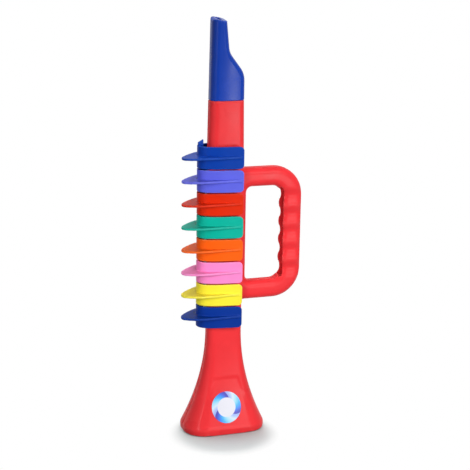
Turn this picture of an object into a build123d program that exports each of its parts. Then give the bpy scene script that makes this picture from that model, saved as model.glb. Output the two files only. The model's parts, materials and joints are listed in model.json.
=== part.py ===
from build123d import *
import math
import os

# Toy trumpet that stands on the rim of its bell. Millimetres, Z up.
# The origin is on the tube's axis, in the plane of the rim.
# X points from the keys towards the handle, and the label faces -Y.

# Tube
tube_width = 32.6
tube_depth = 16.6
tube_side_crown = 0.5
tube_front_flat = 2.6
tube_back_flat = 6.6
tube_neck_length = 40.25
tube_top_taper = 1.2
taper_gap = 2.25
shell_wall = 2.2
overrun = 2.0

# Bell
bell_height = 95.0
bell_width = 77.3
bell_depth = 47.8
bell_side_flat = 7.8
rim_height = 5.0
bell_section_shares = (0.0, 0.2, 0.4, 0.6, 0.8, 1.0)
panel_top_height = 51.7
panel_bottom_height = 6.9
panel_top_width = 23.6
panel_bottom_width = 56.0
panel_corner_radius = 3.0
panel_recess = 0.5

# Keys, with the lowest one a gap above the bell
key_colours = ("blue", "violet", "red", "green", "orange", "pink", "yellow", "navy")
key_count = len(key_colours)
key_pitch = 21.07
key_gap = 0.97
key_row_gap = 5.16
key_wall = 1.9
key_travel = 3.8
key_spring_room = 3.7
key_side_gap = 3.4
key_back_spread = 1.9
key_back_setback = 3.1
key_wing_length = 16.0
key_nose_radius = 8.4
key_corner_radius = 3.7
guide_length = 1.6
guide_setback = 3.0
guide_clearance = 0.3
blade_reach = 14.2
blade_lift = 0.5
blade_droop = 1.9
blade_tip_radius = 9.0
blade_root_radius = 12.0
blade_root_setback = 3.7
blade_flange = 3.0
blade_end_flange = 0.4
blade_end_setback = 2.0
blade_thickness = 2.0
tab_clearance = 0.4
tab_thickness = 3.0
tab_low_height = 2.9
tab_high_height = 5.6
tab_root_depth = 3.0

# Handle, set a little above the middle of the row of keys
handle_height = 123.2
handle_lift = 0.85
handle_reach = 72.7
handle_side_step = 0.3
arm_thickness = 17.8
grip_width = 20.1
spine_projection = 3.25
handle_outer_radius = 27.0
handle_inner_radius = 9.0
handle_root_radius = 5.0
handle_edge_radius = 6.5
handle_wall = 2.6
ridge_count = 4
ridge_end_gap = 9.8
ridge_rise = 0.72

# Valves
seat_wall = 4.0
chamber_corner_radius = 1.2
stem_radius = 1.8
port_clearance = 1.4
stem_boss_radius = 3.0
stem_boss_length = 1.3
stem_neck_radius = 1.2
stem_head_radius = 1.7
stem_head_length = 1.0
pad_lap = 1.4
pad_thickness = 2.0
pad_seat_gap = 0.05
pad_bore_clearance = 0.02
spring_thickness = 0.4
spring_width = 5.0
spring_end_gap = 1.85
spring_hole_clearance = 0.5
spring_seat_gap = 0.05

# Reed block and reeds
chamber_floor_thickness = 4.0
plate_clearance = 1.0
reed_plate_thickness = 2.0
cell_wall = 1.4
block_clearance = 0.12
rail_width = 1.4
rail_rise = 1.5
reed_width = 2.2
reed_side_gap = 0.2
reed_thickness = 0.35
reed_foot_length = 4.0
reed_end_gap = 2.67
reed_step = 0.7
rivet_radius = 1.0
rivet_head_height = 0.5

# Mouthpiece
mouthpiece_length = 74.0
mouthpiece_side_step = 0.3
mouthpiece_front_step = 0.35
mouthpiece_front_draft = 1.2
mouthpiece_front_flat = 4.0
mouthpiece_back_flat = 7.0
mouthpiece_wall = 2.2
beak_length = 32.2
beak_tip_chord = 13.0
beak_root_chord = 15.7
beak_tip_edge = 4.6
beak_slope_height = 18.6
beak_hollow_radius = 16.0
beak_shoulder_radius = 19.0
air_slot_side_wall = 3.5
air_slot_height = 3.6
spigot_length = 12.0
spigot_clearance = 0.08
spigot_wall = 1.8

# Locating pins between the two shells
boss_radius = 3.6
pin_radius = 1.5
pin_length = 3.0
pin_clearance = 0.1

# Label
label_radius = 14.1
label_offset = -1.0
label_rise = 3.6
label_thickness = 0.2
label_gap = 0.02

# Sizes that follow from the ones above
tube_front_radius = (tube_depth - tube_front_flat) / 2
tube_back_radius = (tube_depth - tube_back_flat) / 2
bell_corner_radius = (bell_depth - bell_side_flat) / 2
chamber_bottom = bell_height + chamber_floor_thickness
key_height = key_pitch - key_gap
last_key_height = bell_height + key_row_gap + key_height / 2
first_key_height = last_key_height + (key_count - 1) * key_pitch
keys_top = first_key_height + key_height / 2
taper_start_height = keys_top + taper_gap
tube_top_height = keys_top + tube_neck_length
tube_top_width = tube_width - tube_top_taper
key_front = tube_width / 2 + key_travel + key_spring_room + key_wall
key_back = tube_width / 2 - key_back_setback
key_shoulder_half = tube_depth / 2 + key_side_gap + key_wall
key_back_half = key_shoulder_half + key_back_spread
handle_centre_height = (first_key_height + last_key_height) / 2 + handle_lift
handle_depth = tube_depth - 2 * handle_side_step
valve_seat = -tube_width / 2 + seat_wall
pad_front = valve_seat + pad_seat_gap
pad_back = pad_front + pad_thickness + pad_seat_gap
port_radius = stem_radius + port_clearance
pad_radius = port_radius + pad_lap
reed_plate_front = pad_back + stem_head_length + key_travel + plate_clearance
reed_plate_back = reed_plate_front + reed_plate_thickness
block_bottom = chamber_bottom + block_clearance
block_top = first_key_height + key_pitch / 2 + cell_wall
longest_reed = key_pitch - cell_wall - reed_foot_length - reed_end_gap
mouthpiece_depth = tube_depth - 2 * mouthpiece_side_step
mouthpiece_front = -tube_top_width / 2 + mouthpiece_front_step
mouthpiece_back = tube_top_width / 2
overall_height = tube_top_height + mouthpiece_length
label_centre_height = panel_bottom_height + label_rise + label_radius


def key_height_of(index):
    """Height of the middle of one key above the rim."""
    return first_key_height - index * key_pitch


def rounded_section(width, depth, nose_radius, back_radius, height):
    """Tube or bell outline at one height, with softly crowned sides."""
    half_width = width / 2
    half_depth = depth / 2
    edge = half_depth - tube_side_crown
    near = ThreePointArc((-half_width, -edge), (0, -half_depth), (half_width, -edge))
    back = Line((half_width, -edge), (half_width, edge))
    far = ThreePointArc((half_width, edge), (0, half_depth), (-half_width, edge))
    front = Line((-half_width, edge), (-half_width, -edge))
    outline = make_face([near, back, far, front])
    outline = fillet(outline.vertices().group_by(Axis.X)[0], nose_radius)
    outline = fillet(outline.vertices().group_by(Axis.X)[-1], back_radius)
    return Plane.XY.offset(height) * outline


def bell_section(share, inset):
    """Bell outline at a share of the way down from its throat to its rim."""
    flare = share ** 2
    width = tube_width + (bell_width - tube_width) * flare
    depth = tube_depth + (bell_depth - tube_depth) * flare
    nose_radius = tube_front_radius + (bell_corner_radius - tube_front_radius) * flare
    back_radius = tube_back_radius + (bell_corner_radius - tube_back_radius) * flare
    height = bell_height - share * (bell_height - rim_height)
    return rounded_section(
        width - 2 * inset,
        depth - 2 * inset,
        nose_radius - inset,
        back_radius - inset,
        height,
    )


def bell_solid(inset, below):
    """Flared bell, drawn in by an inset and carried down below the lip."""
    sections = [bell_section(share, inset) for share in bell_section_shares]
    return loft(sections) + extrude(sections[-1], -(rim_height + below))


def tube_solid():
    """Outside of the tube, straight beside the keys and tapered above them."""
    throat = rounded_section(tube_width, tube_depth, tube_front_radius, tube_back_radius, bell_height)
    straight = extrude(throat, taper_start_height - bell_height)
    lower = rounded_section(
        tube_width, tube_depth, tube_front_radius, tube_back_radius, taper_start_height
    )
    upper = rounded_section(
        tube_top_width, tube_depth, tube_front_radius, tube_back_radius, tube_top_height
    )
    return straight + loft([lower, upper], ruled=True)


def chamber_section(inset):
    """Outline of the air chamber, with a thick wall where the pads seat."""
    front = -tube_width / 2 + seat_wall + inset
    back = tube_width / 2 - shell_wall - inset
    depth = tube_depth - 2 * (shell_wall + inset)
    outline = RectangleRounded(back - front, depth, chamber_corner_radius)
    return Pos((front + back) / 2, 0) * outline


def chamber_solid(bottom, top, inset):
    """A length of the air chamber."""
    return Pos(0, 0, bottom) * extrude(chamber_section(inset), top - bottom)


def ridge_run():
    """Height of the rippled stretch of the grip's inner side."""
    return handle_height - 2 * arm_thickness - 2 * ridge_end_gap


def grip_wave():
    """Finger ridges on the grip's inner side: crests and troughs as tangent arcs."""
    quarter = ridge_run() / ridge_count / 4
    middle = handle_reach - grip_width
    start = -ridge_run() / 2
    arcs = [TangentArc((middle + ridge_rise, start), (middle, start + quarter), tangent=(0, 1))]
    for step in range(2 * ridge_count - 1):
        low = start + quarter + 2 * step * quarter
        side = 1 if step % 2 else -1
        extreme = (middle + side * ridge_rise, low + quarter)
        arcs.append(ThreePointArc((middle, low), extreme, (middle, low + 2 * quarter)))
    arcs.append(TangentArc((middle + ridge_rise, -start), (middle, -start - quarter), tangent=(0, -1)))
    return arcs


def handle_opening():
    """Opening of the handle, with rounded corners and a rippled grip side."""
    left = tube_width / 2 + spine_projection
    right = handle_reach - grip_width
    half_height = handle_height / 2 - arm_thickness
    half_run = ridge_run() / 2
    trough = right + ridge_rise
    wave = grip_wave()
    top = Polyline(
        (trough, half_run), (trough, half_height), (left, half_height), (left, 0)
    )
    bottom = Polyline(
        (left, 0), (left, -half_height), (trough, -half_height), (trough, -half_run)
    )
    outline = make_face([*wave, *top.edges(), *bottom.edges()])
    rows = outline.vertices().group_by(Axis.Y)
    corners = (rows[0] + rows[-1]).group_by(Axis.X)
    outline = fillet(corners[0], handle_root_radius)
    rows = outline.vertices().group_by(Axis.Y)
    corners = (rows[0] + rows[-1]).group_by(Axis.X)
    return fillet(corners[-1], handle_inner_radius)


def handle_plate(outline, depth):
    """Raises an outline drawn in the shells' parting plane to a given depth."""
    upright = Plane.XZ.offset(-depth / 2) * Pos(0, handle_centre_height) * outline
    return extrude(upright, depth)


def handle_solid():
    """D-shaped handle with rounded edges, all but those inside the tube."""
    root = tube_width / 2 - tube_back_radius
    outer = Pos((root + handle_reach) / 2, 0) * Rectangle(handle_reach - root, handle_height)
    outer = fillet(outer.vertices().group_by(Axis.X)[-1], handle_outer_radius)
    blank = handle_plate(outer - handle_opening(), handle_depth)
    faces = blank.faces().sort_by(Axis.Y)
    columns = (faces[0].edges() + faces[-1].edges()).group_by(Axis.X)
    rims = [edge for column in columns[1:] for edge in column]
    return fillet(rims, handle_edge_radius)


def handle_cavity():
    """Hollow inside the handle's arms and grip, closed off from the tube."""
    left = tube_width / 2 + spine_projection
    outer = Pos((left + handle_reach - handle_wall) / 2, 0) * Rectangle(
        handle_reach - handle_wall - left, handle_height - 2 * handle_wall
    )
    outer = fillet(outer.vertices().group_by(Axis.X)[-1], handle_outer_radius - handle_wall)
    right = handle_reach - grip_width - ridge_rise - handle_wall
    half_height = handle_height / 2 - arm_thickness + handle_wall
    inner = Pos((left + right) / 2, 0) * Rectangle(right - left + 2 * handle_wall, 2 * half_height)
    return handle_plate(outer - inner, handle_depth - 2 * handle_wall)


def panel_cut():
    """Shallow framed panel on the labelled side of the bell."""
    top = panel_top_width / 2
    bottom = panel_bottom_width / 2
    outline = make_face(
        Polyline(
            (-top, panel_top_height),
            (top, panel_top_height),
            (bottom, panel_bottom_height),
            (-bottom, panel_bottom_height),
            (-top, panel_top_height),
        )
    )
    outline = fillet(outline.vertices(), panel_corner_radius)
    prism = extrude(Plane.XZ * outline, bell_depth)
    return prism - bell_solid(panel_recess, 0)


def port_cuts():
    """Round ports in the thick front wall, one behind each key."""
    cuts = Part()
    for index in range(key_count):
        seat = Plane(
            origin=(-tube_width / 2 - overrun, 0, key_height_of(index)), z_dir=(1, 0, 0)
        )
        cuts += extrude(seat * Circle(port_radius), seat_wall + 2 * overrun)
    return cuts


def block_rails():
    """Upright rails on the side walls that hold the reed block forward."""
    front = reed_plate_back + block_clearance
    inner = tube_depth / 2 - shell_wall
    rails = Part()
    for side in (-1, 1):
        centre = side * (inner - rail_rise / 2 + shell_wall / 4)
        rail = Box(rail_width, rail_rise + shell_wall / 2, block_top - chamber_bottom)
        rails += Pos(front + rail_width / 2, centre, (chamber_bottom + block_top) / 2) * rail
    return rails


def boss_places():
    """Places in the parting plane of the bosses that carry the locating pins."""
    half_height = handle_height / 2 - arm_thickness / 2
    corner = handle_reach - grip_width / 2
    inset = handle_outer_radius / 4
    return [
        (corner - inset, handle_centre_height + half_height - inset),
        (corner - inset, handle_centre_height - half_height + inset),
    ]


def cross_cylinder(place, radius, start, length):
    """Cylinder across the parting plane, from Y = start towards +Y."""
    base = Plane(origin=(place[0], start, place[1]), z_dir=(0, 1, 0))
    return extrude(base * Circle(radius), length)


def housing():
    """Both shells in one, before they are parted."""
    solid = tube_solid() + bell_solid(0, 0) + handle_solid()
    solid -= bell_solid(shell_wall, overrun)
    solid -= chamber_solid(chamber_bottom, tube_top_height + overrun, 0)
    solid -= handle_cavity()
    solid -= port_cuts()
    solid -= panel_cut()
    solid += block_rails()
    for place in boss_places():
        depth = handle_depth - handle_wall
        solid += cross_cylinder(place, boss_radius, -depth / 2, depth)
    return solid


def shells():
    """Left shell with pins and right shell with sockets, parted at Y = 0."""
    whole = housing()
    left = split(whole, bisect_by=Plane.XZ, keep=Keep.BOTTOM)
    right = split(whole, bisect_by=Plane.XZ, keep=Keep.TOP)
    for place in boss_places():
        left += cross_cylinder(place, pin_radius, -pin_length, 2 * pin_length)
        right -= cross_cylinder(
            place, pin_radius + pin_clearance, -pin_length - pin_clearance, 2 * pin_length
        )
    return left, right


def key_plan(inset):
    """Plan outline of a key's saddle: rounded nose, long bowed flanks and spreading wings."""
    nose = -key_front + inset
    nose_radius = key_nose_radius + key_wall - inset
    shoulder = key_back - key_wing_length
    half = key_shoulder_half - inset
    slope = key_back_spread / key_wing_length
    back = key_back + (overrun if inset else 0)
    back_half = half + slope * (back - shoulder)
    turn = math.atan(slope)
    length = shoulder - nose - nose_radius
    lean = length * math.sin(turn) - half * math.cos(turn) + nose_radius
    flank_radius = (nose_radius ** 2 - length ** 2 - half ** 2) / (2 * lean)
    centre_x = shoulder + flank_radius * math.sin(turn)
    centre_y = half - flank_radius * math.cos(turn)
    share = nose_radius / math.hypot(nose + nose_radius - centre_x, centre_y)
    joint_x = nose + nose_radius + share * (nose + nose_radius - centre_x)
    joint_y = -share * centre_y
    heading = (-centre_y, centre_x - nose - nose_radius)
    edges = [
        ThreePointArc((joint_x, -joint_y), (nose, 0), (joint_x, joint_y)),
        TangentArc((joint_x, joint_y), (shoulder, half), tangent=heading),
        Line((shoulder, half), (back, back_half)),
        Line((back, back_half), (back, -back_half)),
        Line((back, -back_half), (shoulder, -half)),
        TangentArc(
            (joint_x, -joint_y), (shoulder, -half), tangent=(heading[0], -heading[1])
        ),
    ]
    return make_face(edges)


def blade_plan():
    """Plan outline of the finger blade: pointed tongue in front, slim flange behind."""
    tip = -key_front - blade_reach
    root = -key_front + blade_root_setback
    half = key_shoulder_half + blade_flange
    end = key_back - blade_end_setback
    end_half = key_back_half + blade_end_flange
    across = blade_tip_radius * math.sqrt(1 / 2)
    joint = tip + blade_tip_radius - across
    edges = [
        ThreePointArc((joint, -across), (tip, 0), (joint, across)),
        TangentArc((joint, across), (root, half), tangent=(1, 1)),
        Line((root, half), (end, end_half)),
        Line((end, end_half), (end, -end_half)),
        Line((end, -end_half), (root, -half)),
        TangentArc((joint, -across), (root, -half), tangent=(1, -1)),
    ]
    outline = make_face(edges)
    rows = outline.vertices().group_by(Axis.Y)
    return fillet(rows[0] + rows[-1], blade_root_radius)


def blade_side():
    """Side view of the finger blade: level along the saddle, drooping towards the tip."""
    tip = -key_front - blade_reach
    root = -key_front + blade_root_setback
    end = key_back - blade_end_setback
    middle_line = [(tip, blade_lift - blade_droop), (root, blade_lift), (end, blade_lift)]
    upper = [(x, z + blade_thickness / 2) for x, z in middle_line]
    lower = [(x, z - blade_thickness / 2) for x, z in reversed(middle_line)]
    return make_face(Polyline(*upper, *lower, upper[0]))


def blade_solid():
    """Finger blade, cut from its plan outline and its side view."""
    slab = extrude(blade_plan(), blade_lift + blade_droop + blade_thickness, both=True)
    return slab & extrude(Plane.XZ * blade_side(), key_shoulder_half + blade_flange, both=True)


def stem_piece(radius, start, end):
    """Round length of a stem along X, at the height of the key's middle."""
    return extrude(Plane(origin=(start, 0, 0), z_dir=(1, 0, 0)) * Circle(radius), end - start)


def stem_solid():
    """Stem with its root boss, and a neck and a head that hold the pad."""
    inner_nose = -key_front + key_wall
    root = -key_front + key_wall / 2
    stem = stem_piece(stem_boss_radius, root, inner_nose + stem_boss_length)
    stem += stem_piece(stem_radius, root, pad_front - pad_seat_gap)
    stem += stem_piece(stem_neck_radius, root, pad_back + stem_head_length)
    stem += stem_piece(stem_head_radius, pad_back, pad_back + stem_head_length)
    return stem


def key_tab():
    """Small upright tab on the nose of the top key, clear of the tube when pressed."""
    front = -key_front + key_wall / 4
    back = -tube_width / 2 - key_travel - tab_clearance
    top = key_height / 2
    outline = make_face(
        Polyline(
            (front, top - 2 * tab_root_depth),
            (front, top + tab_low_height),
            (back, top + tab_high_height),
            (back, top - tab_root_depth),
            (-key_front + key_wall, top - 2 * tab_root_depth),
            (front, top - 2 * tab_root_depth),
        )
    )
    return extrude(Plane.XZ * outline, tab_thickness / 2, both=True)


def guide_ribs():
    """Ribs inside the wings that run along the tube's flat sides."""
    inner = tube_depth / 2 + guide_clearance
    outer = key_back_half - key_wall
    back = key_back - guide_setback
    ribs = Part()
    for side in (-1, 1):
        rib = Box(guide_length, outer - inner, key_height - 2 * key_corner_radius)
        ribs += Pos(back - guide_length / 2, side * (inner + outer) / 2, 0) * rib
    return ribs


def key_solid(index):
    """One key: a saddle over the tube's front with its blade and stem."""
    saddle = extrude(key_plan(0), key_height / 2, both=True)
    side = Pos((key_back - key_front) / 2, 0) * Rectangle(key_back + key_front, key_height)
    side = fillet(side.vertices().group_by(Axis.X)[-1], key_corner_radius)
    saddle &= extrude(Plane.XZ * side, key_shoulder_half + blade_flange, both=True)
    saddle += blade_solid()
    saddle -= extrude(key_plan(key_wall), key_height, both=True)
    saddle += stem_solid() + guide_ribs()
    if index == 0:
        saddle += key_tab()
    return Pos(0, 0, key_height_of(index)) * saddle


def pad_solid(index):
    """Soft valve pad that snaps over a stem's head."""
    pad = Plane(origin=(pad_front, 0, key_height_of(index)), z_dir=(1, 0, 0))
    ring = Circle(pad_radius) - Circle(stem_neck_radius + pad_bore_clearance)
    return extrude(pad * ring, pad_thickness)


def spring_solid(index):
    """Arched leaf spring between the tube's nose and a stem's root boss."""
    crown = -key_front + key_wall + stem_boss_length + spring_seat_gap
    foot = -tube_width / 2 - spring_seat_gap - spring_thickness
    rise = foot - crown
    half_span = key_height / 2 - spring_end_gap
    radius = (half_span ** 2 + rise ** 2) / (2 * rise)
    centre = crown + radius
    half_angle = math.degrees(math.asin(half_span / radius))
    height = key_height_of(index)
    outer = CenterArc((centre, height), radius, 180 - half_angle, 2 * half_angle)
    inner = CenterArc(
        (centre, height), radius - spring_thickness, 180 - half_angle, 2 * half_angle
    )
    ends = [Line(outer @ 0, inner @ 0), Line(outer @ 1, inner @ 1)]
    strip = make_face([outer, inner, *ends])
    leaf = extrude(Plane.XZ * strip, spring_width / 2, both=True)
    hole = stem_piece(stem_radius + spring_hole_clearance, -key_front, -tube_width / 2)
    return leaf - Pos(0, 0, height) * hole


def reed_length(index):
    """Free length of a reed: the lower the key, the longer the reed."""
    return longest_reed - (key_count - 1 - index) * reed_step


def reed_foot_height(index):
    """Height of the lower end of a reed, centred on its cell."""
    return key_height_of(index) - (longest_reed + reed_foot_length) / 2


def reed_block():
    """Plate with eight slots and the walls that part it into eight cells."""
    front = valve_seat + block_clearance
    depth = tube_depth - 2 * shell_wall - 2 * block_clearance
    middle = (block_bottom + block_top) / 2
    plate_middle = (reed_plate_front + reed_plate_back) / 2
    plate = Box(reed_plate_thickness, depth, block_top - block_bottom)
    block = Pos(plate_middle, 0, middle) * plate
    walls = [block_bottom + cell_wall / 2, block_top - cell_wall / 2]
    for index in range(key_count - 1):
        walls.append(key_height_of(index) - key_pitch / 2)
    reach = reed_plate_front - front + cell_wall / 2
    for height in walls:
        block += Pos(front + reach / 2, 0, height) * Box(reach, depth, cell_wall)
    block &= chamber_solid(block_bottom, block_top, block_clearance)
    slot_width = reed_width + 2 * reed_side_gap
    for index in range(key_count):
        slot_bottom = reed_foot_height(index) + reed_foot_length
        slot = Box(reed_plate_thickness + overrun, slot_width, reed_length(index))
        block -= Pos(plate_middle, 0, slot_bottom + reed_length(index) / 2) * slot
    return block


def reed_solid(index):
    """Brass reed, riveted at its foot behind its slot."""
    bottom = reed_foot_height(index)
    length = reed_foot_length + reed_length(index) - block_clearance
    tongue = Box(reed_thickness, reed_width, length)
    middle = reed_plate_back + reed_thickness / 2
    reed = Pos(middle, 0, bottom + length / 2) * tongue
    rivet = Plane(origin=(middle, 0, bottom + reed_foot_length / 2), z_dir=(1, 0, 0))
    return reed + extrude(rivet * Circle(rivet_radius), reed_thickness / 2 + rivet_head_height)


def mouthpiece_profile():
    """Side view of the beak, drawn in the shells' parting plane."""
    tip_front = mouthpiece_front + mouthpiece_front_draft
    root_height = overall_height - beak_length
    slope_foot = root_height - beak_slope_height
    outline = make_face(
        Polyline(
            (mouthpiece_front, tube_top_height),
            (tip_front, overall_height),
            (tip_front + beak_tip_chord, overall_height),
            (tip_front + beak_tip_chord, overall_height - beak_tip_edge),
            (tip_front + beak_root_chord, root_height),
            (mouthpiece_back, slope_foot),
            (mouthpiece_back, tube_top_height),
            (mouthpiece_front, tube_top_height),
        )
    )
    corners = outline.vertices().sort_by(Axis.Y)
    outline = fillet(corners[2], beak_shoulder_radius)
    hollow = outline.vertices().sort_by_distance((tip_front + beak_root_chord, root_height))
    return fillet(hollow[0], beak_hollow_radius)


def mouthpiece_cavity():
    """Wide hollow in the foot of the mouthpiece and the flat air slot above it."""
    width = mouthpiece_back - mouthpiece_front - 2 * mouthpiece_wall
    depth = mouthpiece_depth - 2 * mouthpiece_wall
    root_height = overall_height - beak_length
    foot_top = root_height - beak_slope_height - mouthpiece_wall
    foot_middle = (mouthpiece_front + mouthpiece_back) / 2
    foot = Box(width, depth, foot_top - tube_top_height + overrun)
    foot = Pos(foot_middle, 0, (foot_top + tube_top_height - overrun) / 2) * foot
    tip_front = mouthpiece_front + mouthpiece_front_draft
    throat_width = beak_root_chord - 2 * mouthpiece_wall
    throat_middle = tip_front + beak_root_chord / 2
    throat = Box(throat_width, depth, root_height - tube_top_height)
    throat = Pos(throat_middle, 0, (root_height + tube_top_height) / 2) * throat
    slot_width = mouthpiece_depth - 2 * air_slot_side_wall
    slot = Box(air_slot_height, slot_width, beak_length + 2 * overrun)
    slot_middle = tip_front + beak_tip_chord / 2
    slot = Pos(slot_middle, 0, root_height + beak_length / 2) * slot
    low = tube_top_height - spigot_length - overrun
    inner = Pos(0, 0, low) * extrude(
        chamber_section(spigot_clearance + spigot_wall), spigot_length + 2 * overrun
    )
    return foot + throat + slot + inner


def upright_side_edges(solid):
    """Edges of the two flat side faces that run up the piece rather than across it."""
    faces = solid.faces().sort_by(Axis.Y)
    edges = faces[0].edges() + faces[-1].edges()
    return edges.filter_by(lambda e: e.bounding_box().size.Z > e.bounding_box().size.X)


def mouthpiece_solid():
    """Beak-shaped mouthpiece with a spigot that plugs into the tube."""
    beak = extrude(Plane.XZ * mouthpiece_profile(), mouthpiece_depth / 2, both=True)
    front_radius = (mouthpiece_depth - mouthpiece_front_flat) / 2
    back_radius = (mouthpiece_depth - mouthpiece_back_flat) / 2
    beak = fillet(upright_side_edges(beak).sort_by(Axis.X)[:2], front_radius)
    beak = fillet(upright_side_edges(beak).sort_by(Axis.X)[2:], back_radius)
    spigot = Pos(0, 0, tube_top_height - spigot_length) * extrude(
        chamber_section(spigot_clearance), spigot_length + mouthpiece_wall
    )
    return beak + spigot - mouthpiece_cavity()


def label_solid():
    """Round paper label that follows the flare of the bell."""
    disc = cross_cylinder((label_offset, label_centre_height), label_radius, -bell_depth, bell_depth)
    recess = panel_recess - label_gap
    skin = bell_solid(recess - label_thickness, 0) - bell_solid(recess, 0)
    return disc & skin


def write(shape, name):
    """Writes one piece to its own file."""
    export_step(shape, f"parts/{name}.step")


os.makedirs("parts", exist_ok=True)
left_shell, right_shell = shells()
write(left_shell, "left_shell")
write(right_shell, "right_shell")
write(mouthpiece_solid(), "mouthpiece")
write(reed_block(), "reed_block")
write(label_solid(), "round_label")
for index, colour in enumerate(key_colours):
    number = index + 1
    write(key_solid(index), f"key_{number}_{colour}")
    write(pad_solid(index), f"valve_pad_{number}")
    write(spring_solid(index), f"key_spring_{number}")
    write(reed_solid(index), f"reed_{number}")
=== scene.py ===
import json
import math

import bmesh
import bpy
import numpy as np
from mathutils import Matrix, Vector


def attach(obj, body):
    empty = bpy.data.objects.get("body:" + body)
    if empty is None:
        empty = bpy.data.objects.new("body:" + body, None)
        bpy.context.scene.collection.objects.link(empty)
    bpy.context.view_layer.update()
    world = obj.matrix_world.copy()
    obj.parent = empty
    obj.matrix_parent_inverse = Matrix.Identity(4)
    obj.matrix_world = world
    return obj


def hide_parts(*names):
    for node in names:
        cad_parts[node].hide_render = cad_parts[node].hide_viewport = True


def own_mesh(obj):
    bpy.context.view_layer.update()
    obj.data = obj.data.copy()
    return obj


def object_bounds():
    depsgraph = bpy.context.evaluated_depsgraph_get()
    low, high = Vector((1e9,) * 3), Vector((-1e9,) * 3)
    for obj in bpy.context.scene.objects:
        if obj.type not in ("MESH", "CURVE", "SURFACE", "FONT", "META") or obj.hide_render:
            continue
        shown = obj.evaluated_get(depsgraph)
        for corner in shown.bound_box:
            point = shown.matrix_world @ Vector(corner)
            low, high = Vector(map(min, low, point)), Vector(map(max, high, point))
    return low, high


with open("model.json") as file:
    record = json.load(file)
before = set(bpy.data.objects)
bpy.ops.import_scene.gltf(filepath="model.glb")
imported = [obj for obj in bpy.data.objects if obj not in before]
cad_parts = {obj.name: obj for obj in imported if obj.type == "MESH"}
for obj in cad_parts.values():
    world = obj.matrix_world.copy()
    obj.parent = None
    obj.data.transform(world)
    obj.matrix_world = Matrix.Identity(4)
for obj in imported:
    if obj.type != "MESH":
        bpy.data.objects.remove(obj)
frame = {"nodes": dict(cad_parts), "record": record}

# A child's toy trumpet that stands on the rim of its bell: a red two-part body
# with a grip handle, a blue beak mouthpiece and eight coloured push keys.
# Metres, Z up, the origin on the tube's axis in the plane of the rim.

MM = 0.001

# How finely each moulding is re-cut, and how much its edges are eased
SHELL_GRAIN = 0.85 * MM
KEY_GRAIN = 0.45 * MM
BEAK_GRAIN = 0.5 * MM
MERGE_GAP = 0.002 * MM
EASE_ROUNDS = 3
FAIR_ROUNDS = 8
FAIR_IN = 0.5
FAIR_OUT = -0.52

# How far a point stands out where an edge is fully sharp, as a share of the grain
RIDGE_SHARE = 0.09
RIDGE_ROUNDS = 3

# Finger grooves that run from the grip's inner side across its two faces
GRIP_MIDDLE_HEIGHT = 184.8 * MM
GROOVE_SIZES = {
    "Pitch": 17.0 * MM,
    "Count": 5.0,
    "Depth": 2.2 * MM,
    "Middle height": GRIP_MIDDLE_HEIGHT,
    "Grip edge": 47.0 * MM,
    "Grip front": 55.0 * MM,
    "Grip back": 73.0 * MM,
    "Core": 3.5 * MM,
    "Flank": 6.0 * MM,
}
GROOVE_FADE = 8.0

# Inner corners of the handle's opening, blended into the grip
CORNER_X = 50.0 * MM
CORNER_RISE = 40.5 * MM
CORNER_REACH = 15.0 * MM
CORNER_STRENGTH = 1.6
CORNER_ROUNDS = 45

# Slanting end of the beak, which leans to the labelled side, and its rounded front corner
BEAK_LEVEL = 381.5 * MM
BEAK_TIP_X = -14.15 * MM
BEAK_TIP_HEIGHT = 380.1 * MM
BEAK_SLANT = 0.18
BEAK_LEAN = 0.12
BEAK_CORNER = 3.5 * MM
BEAK_CORNER_DROP = 2.6 * MM
BEAK_CORNER_BASE = 373.0 * MM

# Soft crown of the beak's two flat sides: nothing near its middle plane, all of it on the faces
BEAK_CROWN = 1.1 * MM
BEAK_HALF_CHORD = 15.5 * MM
BEAK_CORE = 3.0 * MM
BEAK_FACE = 8.0 * MM

# Plastics: the colour of each, and the paler colour of its edges, which is partly wear and partly a painted
# highlight along them
BODY_RED = (0.85, 0.034, 0.041)
BODY_WEAR_AND_HIGHLIGHT = (0.92, 0.16, 0.15)
BEAK_BLUE = (0.001, 0.043, 0.40)
BEAK_WEAR_AND_HIGHLIGHT = (0.06, 0.14, 0.55)
KEY_TONES = {
    "blue": ((0.001, 0.046, 0.37), (0.06, 0.16, 0.55)),
    "violet": ((0.115, 0.130, 0.74), (0.32, 0.33, 0.85)),
    "red": ((0.72, 0.022, 0.001), (0.85, 0.12, 0.08)),
    "green": ((0.001, 0.43, 0.32), (0.12, 0.62, 0.48)),
    "orange": ((0.92, 0.118, 0.004), (0.95, 0.28, 0.12)),
    "pink": ((0.92, 0.25, 0.58), (0.94, 0.44, 0.70)),
    "yellow": ((0.90, 0.79, 0.042), (0.92, 0.85, 0.28)),
    "navy": ((0.001, 0.032, 0.28), (0.05, 0.12, 0.45)),
}
CREAM = (0.62, 0.60, 0.54)
CREAM_WEAR_AND_HIGHLIGHT = (0.8, 0.78, 0.72)
RUBBER = (0.03, 0.03, 0.03)
RUBBER_WEAR_AND_HIGHLIGHT = (0.08, 0.08, 0.08)

# Plastics: how rough and how glossy they are
KEY_SHEEN = 0.42
BODY_SHEEN = 0.3
BEAK_SHEEN = 0.25
RUBBER_SHEEN = 0.7
KEY_GLOSS = 0.1
BEAK_GLOSS = 0.17
PLASTIC_IOR = 1.49

# Plastics: clouds in the colour and the sheen, paler edges that are partly rubbed wear and partly a painted
# highlight, scuffs and the mould's grain
MOTTLE = 0.05
CLOUD_SCALE = 38.0
CLOUD_RANGE = (0.3, 0.7)
DULL_RANGE = (0.25, 0.75)
DULLING = 0.07
WEAR_AND_HIGHLIGHT = 0.3
EDGE_RANGE = (0.62, 0.95)
SCUFF_SCALE = 420.0
SCUFF_RANGE = (0.35, 0.65)
SCUFF_LEAST = 0.25
SCUFF_HEIGHT = 0.25
RUBBED_DULLING = 0.12
GRAIN_SCALE = 900.0
GRAIN_BUMP = 0.12
GRAIN_HEIGHT = 0.2 * MM

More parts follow.
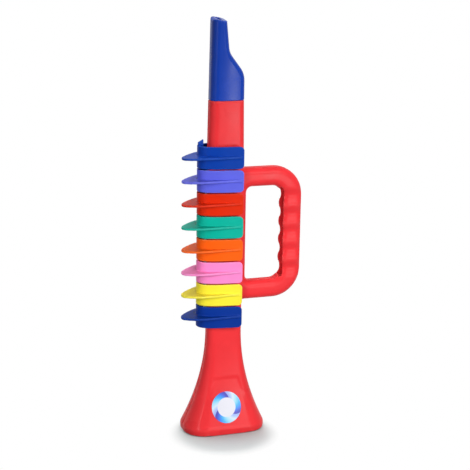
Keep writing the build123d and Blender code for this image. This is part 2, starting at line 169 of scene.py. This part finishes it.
# Strip metals: their colours, and fine lines along the strip
STEEL = (0.56, 0.57, 0.60)
BRASS = (0.78, 0.57, 0.24)
DARK_SHARE = 0.8
METAL_ROUGHNESS = (0.22, 0.4)
STRIP_STRETCH = (1.0, 6.0, 0.4)
STRIP_SCALE = 300.0
STRIP_BUMP = 0.1
STRIP_HEIGHT = 0.1 * MM

# Label: slanted light bands in its ring, each a run of colours, round a pale middle
LABEL_X = -1.0 * MM
LABEL_HEIGHT = 24.6 * MM
LABEL_RADIUS = 14.1 * MM
LABEL_BANDS = 3
LABEL_START = 0.71
LABEL_LEAN = 0.5
LABEL_BAND = (
    (0.00, (0.045, 0.035, 0.42)),
    (0.09, (0.035, 0.035, 0.48)),
    (0.22, (0.02, 0.16, 0.80)),
    (0.38, (0.02, 0.42, 0.88)),
    (0.56, (0.26, 0.66, 0.90)),
    (0.76, (0.62, 0.76, 0.90)),
    (0.94, (0.30, 0.42, 0.86)),
)
LABEL_MIDDLE = (0.74, 0.74, 0.82)
LABEL_MIDDLE_SHARE = 0.60
LABEL_RING_SHARE = 0.63
LABEL_SHEEN = 0.3
LABEL_GLOSS = 0.3

# Floor: it runs out into white, and sends part of its light back up
FLOOR_HALF = 4.0
FLOOR_NEAR = 33.0 * MM
FLOOR_FAR = 53.0 * MM
FLOOR_FORWARD = 20.0 * MM
FLOOR_LEFT = 4.0 * MM
FLOOR_BOUNCE = 0.35
FLOOR_TINT = (0.88, 0.99, 0.985)
SPECK_SCALE = 90.0
SPECK_TONES = (0.95, 0.97)

# Floor: soft shade round the rim, which falls towards the front
SHADE_REACH = 42.0 * MM
SHADE_DEPTH = 1.3
SHADE_FACING = (0, 0.7, 0.714)
SHADE_SAMPLES = 16

# Light: an even level all round and four lamps, with power in watts and spread in degrees
WORLD_LEVEL = 0.16
FULL_SPREAD = 180.0
LAMPS = {
    "key_light": dict(place=(0.62, -1.50, 1.0), aim=(0, 0, 0.18), width=0.8, height=0.8, power=16.6),
    "top_light": dict(place=(-0.1, 0.25, 1.5), aim=(0, 0, 0.1), width=0.8, height=0.8, power=9.0),
    "left_fill": dict(
        place=(-0.45, -0.45, 0.32), aim=(0.02, 0, 0.13), width=0.25, height=0.25, power=0.15, spread=45.0
    ),
    "low_strip": dict(place=(0.35, -0.83, 0.11), aim=(0, 0, 0.11), width=0.05, height=0.2, power=1.9),
}

# Viewpoint of the photograph
TURN_DEG = 17.8
DIP_DEG = 14.33
ROLL_DEG = 0.76
DISTANCE = 1.158
AIM_HEIGHT = 0.190
FOCAL_PX = 1280.0
CENTRE_PX = (224.1, 229.05)
FRAME_PX = 470.0
SENSOR_MM = 36.0
CLIP_START = 0.05
CLIP_END = 50.0

# Steps between the columns and rows of a node tree's layout
COLUMN_STEP = 220
ROW_STEP = 180

cad_box = [list(corner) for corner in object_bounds()]


# Meshes

def edge_lists(mesh):
    """A mesh's points and edges as arrays."""
    points = np.empty(len(mesh.vertices) * 3)
    mesh.vertices.foreach_get("co", points)
    edges = np.empty(len(mesh.edges) * 2, int)
    mesh.edges.foreach_get("vertices", edges)
    return points.reshape(-1, 3), edges.reshape(-1, 2)


def neighbour_counts(count, edges):
    """How many neighbours each point has."""
    return np.bincount(edges[:, 0], minlength=count) + np.bincount(edges[:, 1], minlength=count)


def neighbour_sums(values, edges):
    """The sum of the values at each point's neighbours."""
    a, b = edges[:, 0], edges[:, 1]
    count = len(values)
    return np.bincount(a, values[b], count) + np.bincount(b, values[a], count)


def smooth_points(points, edges, rounds):
    """Fairs a mesh: a few plain rounds ease its edges, the rest only even out its surface."""
    degree = neighbour_counts(len(points), edges)
    for step in [FAIR_IN] * rounds + [FAIR_IN, FAIR_OUT] * FAIR_ROUNDS:
        means = [neighbour_sums(points[:, axis], edges) / degree for axis in range(3)]
        points = points + step * (np.column_stack(means) - points)
    return points


def blend_corners(points, edges):
    """Blends the handle's two inner corners smoothly into the arms and the grip."""
    for height in (GRIP_MIDDLE_HEIGHT - CORNER_RISE, GRIP_MIDDLE_HEIGHT + CORNER_RISE):
        away = np.hypot(points[:, 0] - CORNER_X, points[:, 2] - height)
        weight = np.clip(CORNER_STRENGTH * (1 - away / CORNER_REACH), 0, 1)
        near = edges[(weight[edges[:, 0]] > 0) | (weight[edges[:, 1]] > 0)]
        degree = np.maximum(neighbour_counts(len(points), near), 1)
        for step in [FAIR_IN, FAIR_OUT] * CORNER_ROUNDS:
            for axis in range(3):
                column = points[:, axis]
                mean = neighbour_sums(column, near) / degree
                points[:, axis] = column + step * weight * (mean - column)
    return points


def mark_edges(mesh, grain):
    """Stores how sharply each point stands out of its surroundings, from 0 to 1, as 'ridge'."""
    points, edges = edge_lists(mesh)
    degree = neighbour_counts(len(points), edges)
    normals = np.empty(len(points) * 3)
    mesh.vertices.foreach_get("normal", normals)
    normals = normals.reshape(-1, 3)
    height = np.zeros(len(points))
    for axis in range(3):
        column = points[:, axis]
        height += (column - neighbour_sums(column, edges) / degree) * normals[:, axis]
    for _ in range(RIDGE_ROUNDS):
        height = (height + neighbour_sums(height, edges) / degree) / 2
    ridge = np.clip(height / (RIDGE_SHARE * grain), -1, 1) * 0.5 + 0.5
    mesh.attributes.new("ridge", "FLOAT", "POINT").data.foreach_set("value", ridge)


def slant_beak(solid):
    """Slants the beak's level end to the back and leans it to the labelled side."""
    for point in solid.verts:
        x, y, z = point.co
        if z > BEAK_LEVEL:
            point.co.z = BEAK_TIP_HEIGHT - BEAK_SLANT * (x - BEAK_TIP_X) + BEAK_LEAN * y


def crown_beak(points):
    """Bows the beak's two sides outwards, most in their middle, and rounds its front corner."""
    x, y = points[:, 0], points[:, 1]
    bow = BEAK_CROWN * np.clip(1 - (x / BEAK_HALF_CHORD) ** 2, 0, 1)
    side = np.clip((np.abs(y) - BEAK_CORE) / (BEAK_FACE - BEAK_CORE), 0, 1)
    points[:, 1] += np.sign(y) * bow * side
    front = np.clip(1 - (x - BEAK_TIP_X) / BEAK_CORNER, 0, 1) ** 2
    high = np.clip((points[:, 2] - BEAK_CORNER_BASE) / (BEAK_TIP_HEIGHT - BEAK_CORNER_BASE), 0, 1)
    points[:, 2] -= BEAK_CORNER_DROP * front * high
    return points


def merged_copy(node, trim=None):
    """A copy of a CAD node's mesh with its triangles joined, trimmed where asked."""
    mesh = frame["nodes"][node].data.copy()
    merged = bmesh.new()
    merged.from_mesh(mesh)
    bmesh.ops.remove_doubles(merged, verts=merged.verts, dist=MERGE_GAP)
    if trim:
        trim(merged)
    merged.to_mesh(mesh)
    merged.free()
    return mesh


def moulding(node, name, grain, carve=None, trim=None, bow=None, blend=None):
    """Re-cuts a CAD piece as an even mesh with eased edges and stands it in the piece's place."""
    raw = bpy.data.objects.new(name + "_raw", merged_copy(node, trim))
    bpy.context.scene.collection.objects.link(raw)
    recut = raw.modifiers.new("recut", "REMESH")
    recut.mode = "VOXEL"
    recut.voxel_size = grain
    if carve:
        carve(raw)
    depsgraph = bpy.context.evaluated_depsgraph_get()
    even = bpy.data.meshes.new_from_object(raw.evaluated_get(depsgraph))
    bpy.data.objects.remove(raw)
    even.materials.clear()
    points, edges = edge_lists(even)
    if bow:
        points = bow(points)
    points = smooth_points(points, edges, EASE_ROUNDS)
    if blend:
        points = blend(points, edges)
    points = np.clip(points, cad_box[0], cad_box[1])
    even.vertices.foreach_set("co", points.ravel())
    even.update()
    even.shade_smooth()
    mark_edges(even, grain)
    piece = bpy.data.objects.new(name, even)
    bpy.context.scene.collection.objects.link(piece)
    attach(piece, body_of[node])
    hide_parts(node)
    return piece


def leaf_spring(joint, name):
    """A key's leaf spring, which stands on the tube: a copy of its CAD piece that moves with its body."""
    flexed = joint["deforming_nodes"][0]
    node, foot = flexed["node"], flexed["fixed_end_x_m"]
    piece = bpy.data.objects.new(name, merged_copy(node))
    bpy.context.scene.collection.objects.link(piece)
    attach(piece, body_of[node])
    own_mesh(piece)
    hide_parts(node)
    return piece


# Node trees

def supply(tree, socket, value):
    """Gives a socket a fixed value or another node's output."""
    if isinstance(value, bpy.types.NodeSocket):
        tree.links.new(value, socket)
    else:
        socket.default_value = value


def feed(tree, node, **values):
    """Supplies a node's inputs by name, with underscores for the names' spaces."""
    for name, value in values.items():
        supply(tree, node.inputs[name.replace("_", " ")], value)


def node_of(tree, kind, operation=None, **values):
    """Adds a node and feeds its inputs."""
    made = tree.nodes.new(kind)
    if operation:
        made.operation = operation
    feed(tree, made, **values)
    return made


def reckon(tree, operation, *values):
    """Output of a math node whose inputs are numbers or other nodes' outputs."""
    made = tree.nodes.new("ShaderNodeMath")
    made.operation = operation
    for socket, value in zip(made.inputs, values):
        supply(tree, socket, value)
    return made.outputs[0]


def map_range(tree, value, low, high, start=0.0, end=1.0):
    """Goes from start to end while a value goes from low to high, and no further."""
    made = node_of(
        tree, "ShaderNodeMapRange", Value=value, From_Min=low, From_Max=high, To_Min=start, To_Max=end
    )
    return made.outputs["Result"]


def blend_colours(tree, share, first, second):
    """Goes from one colour to another as a share goes from 0 to 1."""
    made = tree.nodes.new("ShaderNodeMix")
    made.data_type = "RGBA"
    tree.links.new(share, made.inputs["Factor"])
    entries = {socket.identifier: socket for socket in made.inputs}
    supply(tree, entries["A_Color"], first)
    supply(tree, entries["B_Color"], second)
    exits = {socket.identifier: socket for socket in made.outputs}
    return exits["Result_Color"]


def opaque(colour):
    """A colour with full alpha, as sockets take it."""
    return (*colour, 1.0)


def object_place(tree):
    """Output that gives a point's place on the object."""
    return tree.nodes.new("ShaderNodeTexCoord").outputs["Object"]


def arrange(tree):
    """Lays a node tree out in columns, from its output back to its sources."""
    column = {node.name: 0 for node in tree.nodes}
    for _ in tree.nodes:
        for wire in tree.links:
            source, target = wire.from_node.name, wire.to_node.name
            column[source] = max(column[source], column[target] + 1)
    filled = {}
    for node in tree.nodes:
        place = column[node.name]
        row = filled.get(place, 0)
        node.location = (-COLUMN_STEP * place, -ROW_STEP * row)
        filled[place] = row + 1


# Finger grooves

def groove_tree(material):
    """Finger grooves across the grip: a row of soft troughs that fade out towards its back."""
    tree = bpy.data.node_groups.new("grip_grooves", "GeometryNodeTree")
    interface = tree.interface
    interface.new_socket("Geometry", in_out="INPUT", socket_type="NodeSocketGeometry")
    for name in GROOVE_SIZES:
        interface.new_socket(name, in_out="INPUT", socket_type="NodeSocketFloat")
    interface.new_socket("Geometry", in_out="OUTPUT", socket_type="NodeSocketGeometry")
    given = tree.nodes.new("NodeGroupInput").outputs
    position = tree.nodes.new("GeometryNodeInputPosition").outputs["Position"]
    parts = node_of(tree, "ShaderNodeSeparateXYZ", Vector=position).outputs
    x, y, z = parts["X"], parts["Y"], parts["Z"]
    # along the grip: one trough a pitch, within the row
    along = reckon(tree, "DIVIDE", reckon(tree, "SUBTRACT", z, given["Middle height"]), given["Pitch"])
    swing = reckon(tree, "COSINE", reckon(tree, "MULTIPLY", along, 2 * math.pi))
    trough = reckon(tree, "MULTIPLY_ADD", swing, 0.5, 0.5)
    row_half = reckon(tree, "MULTIPLY", given["Count"], 0.5)
    in_row = reckon(tree, "LESS_THAN", reckon(tree, "ABSOLUTE", along), row_half)
    # across the grip: full depth in front, nothing at the back
    across = map_range(tree, x, given["Grip front"], given["Grip back"])
    fade = reckon(tree, "SUBTRACT", 1.0, reckon(tree, "POWER", across, GROOVE_FADE))
    on_grip = map_range(tree, x, given["Grip edge"], given["Grip front"])
    # only the outer skin moves, inwards from both sides
    skin = map_range(tree, reckon(tree, "ABSOLUTE", y), given["Core"], given["Flank"])
    inwards = reckon(tree, "MULTIPLY", reckon(tree, "SIGN", y), -1.0)
    shift = given["Depth"]
    for factor in (trough, in_row, fade, on_grip, skin, inwards):
        shift = reckon(tree, "MULTIPLY", shift, factor)
    offset = node_of(tree, "ShaderNodeCombineXYZ", Y=shift).outputs["Vector"]
    move = node_of(tree, "GeometryNodeSetPosition", Geometry=given["Geometry"], Offset=offset)
    real = node_of(tree, "GeometryNodeRealizeInstances", Geometry=move.outputs["Geometry"])
    coat = node_of(
        tree, "GeometryNodeSetMaterial", Geometry=real.outputs["Geometry"], Material=material
    )
    node_of(tree, "NodeGroupOutput", Geometry=coat.outputs["Geometry"])
    arrange(tree)
    return tree


def carve_grooves(thing):
    """Adds the finger grooves to a shell as a modifier with this toy's sizes."""
    grooves = thing.modifiers.new("grooves", "NODES")
    grooves.node_group = grip_grooves
    for socket in grip_grooves.interface.items_tree:
        if socket.name in GROOVE_SIZES:
            grooves[socket.identifier] = GROOVE_SIZES[socket.name]


# Materials

def new_material(name):
    """A new material, its node tree and its main shader."""
    material = bpy.data.materials.new(name)
    material.use_nodes = True
    tree = material.node_tree
    return material, tree, tree.nodes["Principled BSDF"]


def plastic_group():
    """Surface of moulded plastic: mottled colour, paler edges that are partly wear and partly a painted
    highlight, fine grain and scuffs.
    """
    group = bpy.data.node_groups.new("moulded_plastic", "ShaderNodeTree")
    for name in ("Colour", "Worn colour"):
        group.interface.new_socket(name, in_out="INPUT", socket_type="NodeSocketColor")
    for name in ("Mottle", "Wear", "Sheen roughness", "Grain scale"):
        group.interface.new_socket(name, in_out="INPUT", socket_type="NodeSocketFloat")
    group.interface.new_socket("Colour", in_out="OUTPUT", socket_type="NodeSocketColor")
    for name in ("Roughness", "Height"):
        group.interface.new_socket(name, in_out="OUTPUT", socket_type="NodeSocketFloat")
    given = group.nodes.new("NodeGroupInput").outputs
    where = object_place(group)
    cloud = node_of(
        group, "ShaderNodeTexNoise", Vector=where, Scale=CLOUD_SCALE, Detail=4.0, Roughness=0.55
    ).outputs["Fac"]
    grain = node_of(
        group, "ShaderNodeTexNoise", Vector=where, Scale=given["Grain scale"], Detail=3.0, Roughness=0.6
    ).outputs["Fac"]
    scuff = node_of(
        group, "ShaderNodeTexNoise", Vector=where, Scale=SCUFF_SCALE, Detail=5.0, Roughness=0.7
    ).outputs["Fac"]
    ridge = group.nodes.new("ShaderNodeAttribute")
    ridge.attribute_name = "ridge"
    # colour: cloudy light and dark around the given one
    swing = map_range(group, cloud, *CLOUD_RANGE, -1.0, 1.0)
    value = reckon(group, "ADD", reckon(group, "MULTIPLY", swing, given["Mottle"]), 1.0)
    tint = node_of(group, "ShaderNodeHueSaturation", Color=given["Colour"], Value=value)
    # paler edges, partly wear and partly a painted highlight: only where the surface turns sharply
    # outwards, broken up by scuffs
    sharp = map_range(group, ridge.outputs["Fac"], *EDGE_RANGE)
    broken = map_range(group, scuff, *SCUFF_RANGE, SCUFF_LEAST, 1.0)
    wear_and_highlight = reckon(group, "MULTIPLY", sharp, broken)
    share = reckon(group, "MULTIPLY", wear_and_highlight, given["Wear"])
    colour = blend_colours(group, share, tint.outputs["Color"], given["Worn colour"])
    # roughness: the given sheen, duller in clouds and along rubbed edges
    cloudy = map_range(group, cloud, *DULL_RANGE, -DULLING, DULLING)
    sheen = reckon(group, "ADD", cloudy, given["Sheen roughness"])
    roughness = reckon(group, "MULTIPLY_ADD", wear_and_highlight, RUBBED_DULLING, sheen)
    # height: fine grain of the mould and a little of the scuffs
    height = reckon(group, "MULTIPLY_ADD", scuff, SCUFF_HEIGHT, grain)
    node_of(group, "NodeGroupOutput", Colour=colour, Roughness=roughness, Height=height)
    arrange(group)


def plastic(name, colour, wear_and_highlight, sheen=KEY_SHEEN, gloss=KEY_GLOSS):
    """Glossy injection-moulded plastic of one colour."""
    material, tree, shader = new_material(name)
    surface = tree.nodes.new("ShaderNodeGroup")
    surface.node_tree = bpy.data.node_groups["moulded_plastic"]
    # the paler edge colour is partly wear and partly a painted highlight
    feed(tree, surface, Colour=opaque(colour), Worn_colour=opaque(wear_and_highlight), Mottle=MOTTLE, Wear=WEAR_AND_HIGHLIGHT)
    feed(tree, surface, Sheen_roughness=sheen, Grain_scale=GRAIN_SCALE)
    made = surface.outputs
    bump = node_of(
        tree, "ShaderNodeBump", Strength=GRAIN_BUMP, Distance=GRAIN_HEIGHT, Height=made["Height"]
    )
    feed(tree, shader, Base_Color=made["Colour"], Roughness=made["Roughness"])
    feed(tree, shader, Normal=bump.outputs["Normal"], IOR=PLASTIC_IOR, Specular_IOR_Level=gloss)
    arrange(tree)
    return material


def metal(name, colour):
    """Rolled strip metal with fine lines along its length."""
    material, tree, shader = new_material(name)
    lines = node_of(tree, "ShaderNodeMapping", Vector=object_place(tree), Scale=STRIP_STRETCH)
    noise = node_of(
        tree, "ShaderNodeTexNoise", Vector=lines.outputs["Vector"], Scale=STRIP_SCALE, Detail=4.0
    ).outputs["Fac"]
    dark = [DARK_SHARE * channel for channel in colour]
    tone = blend_colours(tree, noise, opaque(dark), opaque(colour))
    rough = map_range(tree, noise, 0.0, 1.0, *METAL_ROUGHNESS)
    bump = node_of(tree, "ShaderNodeBump", Strength=STRIP_BUMP, Distance=STRIP_HEIGHT, Height=noise)
    feed(tree, shader, Metallic=1.0, Base_Color=tone, Roughness=rough, Normal=bump.outputs["Normal"])
    arrange(tree)
    return material


def label_material():
    """Foil sticker: a blue and white ring of slanted light bands round a pale middle."""
    material, tree, shader = new_material("foil_label")
    centre = node_of(
        tree, "ShaderNodeMapping", Vector=object_place(tree), Location=(-LABEL_X, 0, -LABEL_HEIGHT)
    )
    parts = node_of(tree, "ShaderNodeSeparateXYZ", Vector=centre.outputs["Vector"]).outputs
    flat = node_of(tree, "ShaderNodeCombineXYZ", X=parts["X"], Y=parts["Z"]).outputs["Vector"]
    radius = node_of(tree, "ShaderNodeVectorMath", "LENGTH", Vector=flat).outputs["Value"]
    angle = reckon(tree, "ARCTAN2", parts["Z"], parts["X"])
    turns = reckon(tree, "MULTIPLY_ADD", angle, LABEL_BANDS / (2 * math.pi), LABEL_START)
    lean = reckon(tree, "MULTIPLY_ADD", radius, -LABEL_LEAN / LABEL_RADIUS, turns)
    band = node_of(tree, "ShaderNodeValToRGB", Fac=reckon(tree, "FRACT", lean))
    stops = band.color_ramp.elements
    for stop, (place, colour) in zip(stops, (LABEL_BAND[0], LABEL_BAND[-1])):
        stop.position = place
        stop.color = opaque(colour)
    for place, colour in LABEL_BAND[1:-1]:
        stops.new(place).color = opaque(colour)
    edge = (LABEL_MIDDLE_SHARE * LABEL_RADIUS, LABEL_RING_SHARE * LABEL_RADIUS)
    in_ring = map_range(tree, radius, *edge)
    colour = blend_colours(tree, in_ring, opaque(LABEL_MIDDLE), band.outputs["Color"])
    feed(tree, shader, Base_Color=colour, Roughness=LABEL_SHEEN, Specular_IOR_Level=LABEL_GLOSS)
    arrange(tree)
    return material


def paint(thing, material):
    """Gives a piece its one material."""
    thing.data.materials.clear()
    thing.data.materials.append(material)


# The object's pieces

body_of = {}
for body, members in frame["record"]["behaviour"]["bodies"].items():
    for member in members:
        body_of[member] = body

plastic_group()
red = plastic("red_plastic", BODY_RED, BODY_WEAR_AND_HIGHLIGHT, sheen=BODY_SHEEN)
blue = plastic("beak_blue_plastic", BEAK_BLUE, BEAK_WEAR_AND_HIGHLIGHT, sheen=BEAK_SHEEN, gloss=BEAK_GLOSS)
key_paint = {
    colour: plastic(f"key_{colour}_plastic", tone, wear_and_highlight)
    for colour, (tone, wear_and_highlight) in KEY_TONES.items()
}

grip_grooves = groove_tree(red)
left_half = moulding("left_shell", "left_half", SHELL_GRAIN, carve_grooves, blend=blend_corners)
right_half = moulding("right_shell", "right_half", SHELL_GRAIN, carve_grooves, blend=blend_corners)
beak = moulding("mouthpiece", "beak", BEAK_GRAIN, trim=slant_beak, bow=crown_beak)
for piece in (left_half, right_half):
    paint(piece, red)
paint(beak, blue)
for number, colour in enumerate(KEY_TONES, 1):
    key = moulding(f"key_{number}_{colour}", f"push_key_{number}", KEY_GRAIN)
    paint(key, key_paint[colour])

cream = plastic("reed_block_plastic", CREAM, CREAM_WEAR_AND_HIGHLIGHT)
rubber = plastic("pad_rubber", RUBBER, RUBBER_WEAR_AND_HIGHLIGHT, sheen=RUBBER_SHEEN)
steel = metal("spring_steel", STEEL)
brass = metal("reed_brass", BRASS)
paint(frame["nodes"]["reed_block"], cream)
paint(frame["nodes"]["round_label"], label_material())
for number in range(1, len(KEY_TONES) + 1):
    paint(frame["nodes"][f"valve_pad_{number}"], rubber)
    paint(frame["nodes"][f"reed_{number}"], brass)
for number, joint in enumerate(frame["record"]["behaviour"]["joints"], 1):
    spring = leaf_spring(joint, f"leaf_spring_{number}")
    paint(spring, steel)


# Floor, light and camera

def floor_tone(tree, where, path):
    """Colour of the floor: faint specks, the toy's shade, and a duller look for bounced light."""
    speck = node_of(tree, "ShaderNodeTexNoise", Vector=where, Scale=SPECK_SCALE, Detail=3.0)
    tone = map_range(tree, speck.outputs["Fac"], 0.0, 1.0, *SPECK_TONES)
    dull = reckon(tree, "MULTIPLY_ADD", path["Is Diffuse Ray"], FLOOR_BOUNCE - 1.0, 1.0)
    near = node_of(tree, "ShaderNodeAmbientOcclusion", Distance=SHADE_REACH, Normal=SHADE_FACING)
    near.samples = SHADE_SAMPLES
    shade = reckon(tree, "POWER", near.outputs["AO"], SHADE_DEPTH)
    level = reckon(tree, "MULTIPLY", reckon(tree, "MULTIPLY", tone, dull), shade)
    return node_of(tree, "ShaderNodeVectorMath", "SCALE", Vector=FLOOR_TINT, Scale=level).outputs["Vector"]


def white_floor():
    """Pale floor that keeps the toy's shadow and runs out into the white behind it."""
    mesh = bpy.data.meshes.new("floor")
    half = FLOOR_HALF
    corners = [(-half, -half, 0), (half, -half, 0), (half, half, 0), (-half, half, 0)]
    mesh.from_pydata(corners, [], [(0, 1, 2, 3)])
    floor = bpy.data.objects.new("floor", mesh)
    bpy.context.scene.collection.objects.link(floor)
    material, tree, shader = new_material("pale_floor")
    tree.nodes.remove(shader)
    where = object_place(tree)
    path = tree.nodes.new("ShaderNodeLightPath").outputs
    matt = node_of(tree, "ShaderNodeBsdfDiffuse", Color=floor_tone(tree, where, path))
    # how far out a point is, and whether it is seen or mirrored
    middle = node_of(tree, "ShaderNodeMapping", Vector=where, Location=(FLOOR_LEFT, FLOOR_FORWARD, 0))
    distance = node_of(tree, "ShaderNodeVectorMath", "LENGTH", Vector=middle.outputs["Vector"])
    far = node_of(
        tree, "ShaderNodeMapRange", Value=distance.outputs["Value"], From_Min=FLOOR_NEAR, From_Max=FLOOR_FAR
    )
    far.interpolation_type = "SMOOTHSTEP"
    seen = reckon(tree, "MAXIMUM", path["Is Camera Ray"], path["Is Glossy Ray"])
    share = reckon(tree, "MULTIPLY", far.outputs["Result"], seen)
    glow = node_of(tree, "ShaderNodeEmission", Color=opaque((1.0, 1.0, 1.0)), Strength=1.0)
    mix = node_of(tree, "ShaderNodeMixShader", Fac=share)
    tree.links.new(matt.outputs["BSDF"], mix.inputs[1])
    tree.links.new(glow.outputs["Emission"], mix.inputs[2])
    feed(tree, tree.nodes["Material Output"], Surface=mix.outputs["Shader"])
    arrange(tree)
    paint(floor, material)


def white_world(level):
    """Even light all round, and plain white where it is seen or mirrored."""
    world = bpy.data.worlds.new("studio")
    bpy.context.scene.world = world
    world.use_nodes = True
    tree = world.node_tree
    path = tree.nodes.new("ShaderNodeLightPath").outputs
    seen = reckon(tree, "MAXIMUM", path["Is Camera Ray"], path["Is Transmission Ray"])
    shown = reckon(tree, "MAXIMUM", seen, path["Is Glossy Ray"])
    strength = map_range(tree, shown, 0.0, 1.0, level, 1.0)
    feed(tree, tree.nodes["Background"], Color=opaque((1.0, 1.0, 1.0)), Strength=strength)
    arrange(tree)


def soft_box(name, place, aim, width, height, power, spread=FULL_SPREAD):
    """Rectangular lamp that looks at a point."""
    lamp = bpy.data.lights.new(name, "AREA")
    lamp.shape = "RECTANGLE"
    lamp.size = width
    lamp.size_y = height
    lamp.energy = power
    lamp.spread = math.radians(spread)
    thing = bpy.data.objects.new(name, lamp)
    bpy.context.scene.collection.objects.link(thing)
    thing.location = place
    direction = Vector(aim) - Vector(place)
    thing.rotation_euler = direction.to_track_quat("-Z", "Y").to_euler()


def photo_camera():
    """Camera at the photograph's angle, distance and framing."""
    turn, dip, roll = (math.radians(angle) for angle in (TURN_DEG, DIP_DEG, ROLL_DEG))
    forward = Vector((math.sin(turn) * math.cos(dip), math.cos(turn) * math.cos(dip), -math.sin(dip)))
    level = Vector((math.cos(turn), -math.sin(turn), 0))
    upright = level.cross(forward)
    right = level * math.cos(roll) + upright * math.sin(roll)
    up = upright * math.cos(roll) - level * math.sin(roll)
    lens = bpy.data.cameras.new("photo_camera")
    lens.sensor_width = SENSOR_MM
    lens.lens = FOCAL_PX / FRAME_PX * SENSOR_MM
    lens.shift_x = (FRAME_PX / 2 - CENTRE_PX[0]) / FRAME_PX
    lens.shift_y = (CENTRE_PX[1] - FRAME_PX / 2) / FRAME_PX
    lens.clip_start = CLIP_START
    lens.clip_end = CLIP_END
    camera = bpy.data.objects.new("photo_camera", lens)
    bpy.context.scene.collection.objects.link(camera)
    turned = Matrix((right, up, -forward)).transposed()
    place = Vector((0, 0, AIM_HEIGHT)) - forward * DISTANCE
    camera.matrix_world = Matrix.Translation(place) @ turned.to_4x4()
    bpy.context.scene.camera = camera


white_floor()
white_world(WORLD_LEVEL)
for name, setting in LAMPS.items():
    soft_box(name, **setting)
photo_camera()
bpy.context.scene.view_settings.view_transform = "Standard"
